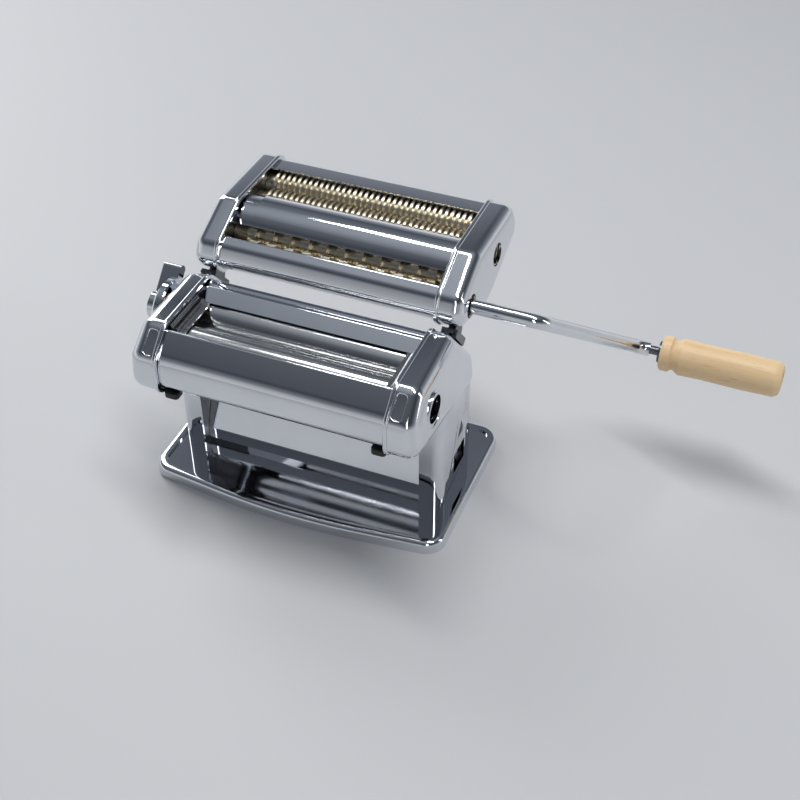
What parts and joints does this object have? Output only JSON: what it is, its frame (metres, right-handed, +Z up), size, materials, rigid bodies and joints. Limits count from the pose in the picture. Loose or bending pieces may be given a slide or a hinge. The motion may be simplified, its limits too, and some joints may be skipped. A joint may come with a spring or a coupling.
{
  "type": "pasta machine",
  "caption": "Hand-cranked pasta machine in polished steel: smooth rollers with a thickness knob over a chute and tray, a tilted duplex cutter unit behind, and a bent crank with a beech handle.",
  "frame": {"origin": "On the counter, under the middle of the two columns, at the plane of the tray's foot.", "axes": "X along the rollers towards the crank, Y to the back, Z up."},
  "size_m": [0.4083, 0.2003, 0.175],
  "materials": {
    "polished_steel": "mirror-polished plated steel",
    "roller_steel": "ground and polished steel",
    "frame_steel": "plain bright steel",
    "bronze": "machined bearing bronze",
    "cutter_brass": "pale machined brass",
    "black_plastic": "moulded black plastic",
    "beech": "oiled turned beech"
  },
  "bodies": {
    "machine": {"base_tray": "polished_steel", "base_screws": "frame_steel", "right_side_casing": "polished_steel", "left_side_casing": "polished_steel", "right_side_frame": "frame_steel", "left_side_frame": "frame_steel", "front_cover": "polished_steel", "rear_cover": "polished_steel", "pasta_chute": "polished_steel", "front_scraper": "frame_steel", "rear_scraper": "frame_steel", "dough_guides": "roller_steel", "cover_clips": "black_plastic", "tie_rods": "frame_steel", "tie_rod_nuts": "frame_steel", "drive_bushes": "bronze", "knob_bush": "bronze", "right_cutter_rail": "frame_steel", "left_cutter_rail": "frame_steel"},
    "drive_roller": {"drive_roller": "roller_steel", "drive_gear": "frame_steel"},
    "gap_carriage": {"left_idler_block": "frame_steel", "right_idler_block": "frame_steel", "idler_yoke": "frame_steel"},
    "idler_roller": {"idler_roller": "roller_steel", "idler_gear": "frame_steel"},
    "adjuster": {"adjuster_cam": "frame_steel", "knob_nut": "frame_steel"},
    "knob": {"thickness_knob": "polished_steel"},
    "cutter_unit": {"right_cutter_casing": "polished_steel", "left_cutter_casing": "polished_steel", "right_cutter_frame": "frame_steel", "left_cutter_frame": "frame_steel", "cutter_bushes": "bronze", "cutter_tie_rods": "frame_steel", "cutter_front_cover": "polished_steel", "cutter_bridge": "polished_steel", "cutter_rear_cover": "polished_steel", "cutter_shoes": "frame_steel", "wide_comb_front": "frame_steel", "wide_comb_rear": "frame_steel", "fine_comb_front": "frame_steel", "fine_comb_rear": "frame_steel"},
    "wide_front": {"wide_cutter_front": "cutter_brass", "wide_gear_front": "frame_steel"},
    "wide_rear": {"wide_cutter_rear": "cutter_brass", "wide_gear_rear": "frame_steel"},
    "fine_front": {"fine_cutter_front": "cutter_brass", "fine_gear_front": "frame_steel"},
    "fine_rear": {"fine_cutter_rear": "cutter_brass", "fine_gear_rear": "frame_steel"},
    "crank": {"crank_rod": "polished_steel", "handle_pin": "frame_steel", "handle_washer": "frame_steel"},
    "handle": {"crank_handle": "beech"}
  },
  "joints": [
    {"name": "drive_spin", "type": "hinge", "parent": "machine", "child": "drive_roller", "pos_m": [0, -0.048, 0.1174], "axis": [1, 0, 0], "continuous": true},
    {"name": "gap_slide", "type": "slide", "parent": "machine", "child": "gap_carriage", "axis": [0, -1, 0], "range_m": [0, 0.002]},
    {"name": "idler_spin", "type": "hinge", "parent": "gap_carriage", "child": "idler_roller", "pos_m": [0, -0.0173, 0.1174], "axis": [1, 0, 0], "continuous": true},
    {"name": "knob_turn", "type": "hinge", "parent": "machine", "child": "adjuster", "pos_m": [-0.1, -0.0173, 0.1174], "axis": [1, 0, 0], "range_deg": [0, 150]},
    {"name": "knob_pull", "type": "slide", "parent": "adjuster", "child": "knob", "axis": [-1, 0, 0], "range_m": [0, 0.005]},
    {"name": "cutter_lift", "type": "slide", "parent": "machine", "child": "cutter_unit", "axis": [0, -0.6516, 0.7586], "range_m": [0, 0.03]},
    {"name": "wide_spin", "type": "hinge", "parent": "cutter_unit", "child": "wide_front", "pos_m": [0, 0.02384, 0.14587], "axis": [1, 0, 0], "continuous": true},
    {"name": "wide_follow", "type": "hinge", "parent": "cutter_unit", "child": "wide_rear", "pos_m": [0, 0.04258, 0.14901], "axis": [1, 0, 0], "continuous": true},
    {"name": "fine_spin", "type": "hinge", "parent": "cutter_unit", "child": "fine_front", "pos_m": [0, 0.07316, 0.15413], "axis": [1, 0, 0], "continuous": true},
    {"name": "fine_follow", "type": "hinge", "parent": "cutter_unit", "child": "fine_rear", "pos_m": [0, 0.0919, 0.15726], "axis": [1, 0, 0], "continuous": true},
    {"name": "crank_pull", "type": "slide", "parent": "wide_front", "child": "crank", "axis": [1, 0, 0], "range_m": [0, 0.025]},
    {"name": "handle_spin", "type": "hinge", "parent": "crank", "child": "handle", "pos_m": [0.25, 0.09788, 0.08635], "axis": [1, 0, 0], "continuous": true}
  ],
  "couplings": [
    {"joint": "idler_spin", "follows": "drive_spin", "ratio": -1},
    {"joint": "knob_turn", "follows": "gap_slide", "rad_per_m": 1308.9},
    {"joint": "wide_follow", "follows": "wide_spin", "ratio": -1},
    {"joint": "fine_follow", "follows": "fine_spin", "ratio": -1}
  ]
}
